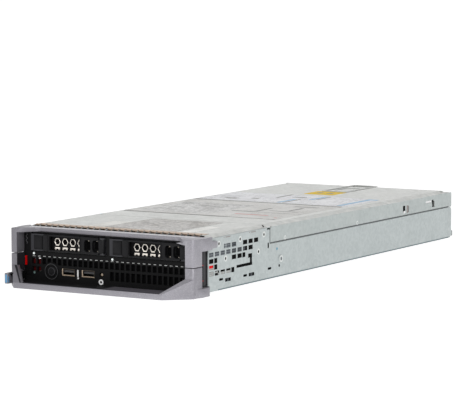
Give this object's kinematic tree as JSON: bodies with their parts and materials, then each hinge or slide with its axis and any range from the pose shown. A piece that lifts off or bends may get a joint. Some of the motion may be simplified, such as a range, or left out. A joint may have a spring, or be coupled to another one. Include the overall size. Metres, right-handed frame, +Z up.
{
  "type": "blade server",
  "caption": "Half-height blade server with a swing-out front handle, two front drive carriers, sliding top cover and rear connectors",
  "frame": {"origin": "centre of the chassis underside, midway between its side panels and between the front and rear edges of its side panels", "axes": "+X to the right seen from the front, +Y towards the rear connectors, +Z up through the top cover"},
  "size_m": [0.1919, 0.5254, 0.0518],
  "materials": {
    "galvanized_steel": "galvanized sheet, fine spangle",
    "emi_metal": "tan plated spring metal",
    "bezel_plastic": "grey metallic moulded plastic",
    "black_plastic": "fine matt black",
    "dark_plastic": "matt dark grey",
    "red_plastic": "bright red",
    "light_pipe": "clear light pipe",
    "bright_metal": "bright plated metal",
    "screw_steel": "zinc plated",
    "circuit_board": "green solder mask",
    "ivory_plastic": "ivory nylon",
    "die_cast": "cast and machined aluminium",
    "fin_aluminium": "extruded fins",
    "chip_plastic": "moulded black epoxy"
  },
  "bodies": {
    "chassis": {"base_pan": "galvanized_steel", "right_side_panel": "galvanized_steel", "left_side_panel": "galvanized_steel", "front_top_plate": "galvanized_steel", "rear_panel": "galvanized_steel", "emi_strips": "emi_metal", "side_screws": "screw_steel", "front_panel": "black_plastic", "bay_frame": "black_plastic", "handle_catch": "black_plastic", "upper_bezel": "bezel_plastic", "status_lights": "light_pipe", "usb_shells": "bright_metal", "usb_tongues": "black_plastic", "front_io_board": "circuit_board", "power_switch": "dark_plastic", "lock_strip": "red_plastic", "drive_cage": "galvanized_steel", "drive_backplane": "circuit_board", "backplane_connectors": "chip_plastic", "main_board": "circuit_board", "standoffs": "screw_steel", "board_screws": "screw_steel", "cpu_sockets": "ivory_plastic", "processors": "bright_metal", "heat_sinks": "fin_aluminium", "heat_sink_screws": "screw_steel", "dimm_sockets": "chip_plastic", "memory_modules": "circuit_board", "chipset_heat_sink": "fin_aluminium", "board_parts": "chip_plastic", "coin_cell": "screw_steel", "mezzanine_cards": "circuit_board", "mezzanine_connectors": "chip_plastic", "rear_connectors": "chip_plastic", "guide_sockets": "chip_plastic", "rear_guides": "dark_plastic", "handle_pivot_pin": "screw_steel"},
    "cover": {"top_cover": "galvanized_steel", "latch_cup": "dark_plastic", "latch_pin": "screw_steel"},
    "cover_latch": {"latch_lever": "dark_plastic"},
    "handle": {"handle_frame": "bezel_plastic", "release_button_pin": "screw_steel"},
    "release_button": {"release_button": "bezel_plastic"},
    "power_button": {"power_button": "black_plastic"},
    "left_drive": {"left_drive_carrier": "dark_plastic", "left_hard_drive": "die_cast", "left_carrier_mesh": "bright_metal", "left_lever_pin": "screw_steel"},
    "left_lever": {"left_carrier_lever": "black_plastic"},
    "left_button": {"left_carrier_button": "black_plastic"},
    "right_drive": {"right_drive_carrier": "dark_plastic", "right_hard_drive": "die_cast", "right_carrier_mesh": "bright_metal", "right_lever_pin": "screw_steel"},
    "right_lever": {"right_carrier_lever": "black_plastic"},
    "right_button": {"right_carrier_button": "black_plastic"}
  },
  "joints": [
    {"name": "cover_slide", "type": "slide", "parent": "chassis", "child": "cover", "axis": [0, 1, 0], "range_m": [0, 0.018]},
    {"name": "cover_latch_hinge", "type": "hinge", "parent": "cover", "child": "cover_latch", "pos_m": [0, 0.2196, 0.0455], "axis": [-1, 0, 0], "range_deg": [0, 75]},
    {"name": "handle_hinge", "type": "hinge", "parent": "chassis", "child": "handle", "pos_m": [0.088, -0.2424, 0.0012], "axis": [0, 0, 1], "range_deg": [0, 50]},
    {"name": "release_button_hinge", "type": "hinge", "parent": "handle", "child": "release_button", "pos_m": [-0.0912, -0.2597, 0.004], "axis": [0, 0, 1], "range_deg": [0, 14], "stiffness_Nm_per_rad": 0.1},
    {"name": "power_button_press", "type": "slide", "parent": "chassis", "child": "power_button", "axis": [0, 1, 0], "range_m": [0, 0.0015], "stiffness_N_per_m": 400},
    {"name": "left_drive_slide", "type": "slide", "parent": "chassis", "child": "left_drive", "axis": [0, -1, 0], "range_m": [0, 0.1]},
    {"name": "left_lever_hinge", "type": "hinge", "parent": "left_drive", "child": "left_lever", "pos_m": [-0.0056, -0.2502, 0.0346], "axis": [0, 0, 1], "range_deg": [0, 50]},
    {"name": "left_button_press", "type": "slide", "parent": "left_drive", "child": "left_button", "axis": [0, 1, 0], "range_m": [0, 0.0025], "stiffness_N_per_m": 500},
    {"name": "right_drive_slide", "type": "slide", "parent": "chassis", "child": "right_drive", "axis": [0, -1, 0], "range_m": [0, 0.1]},
    {"name": "right_lever_hinge", "type": "hinge", "parent": "right_drive", "child": "right_lever", "pos_m": [0.07725, -0.2502, 0.0346], "axis": [0, 0, 1], "range_deg": [0, 50]},
    {"name": "right_button_press", "type": "slide", "parent": "right_drive", "child": "right_button", "axis": [0, 1, 0], "range_m": [0, 0.0025], "stiffness_N_per_m": 500}
  ],
  "couplings": [
    {"joint": "cover_latch_hinge", "follows": "cover_slide", "rad_per_m": 72}
  ]
}
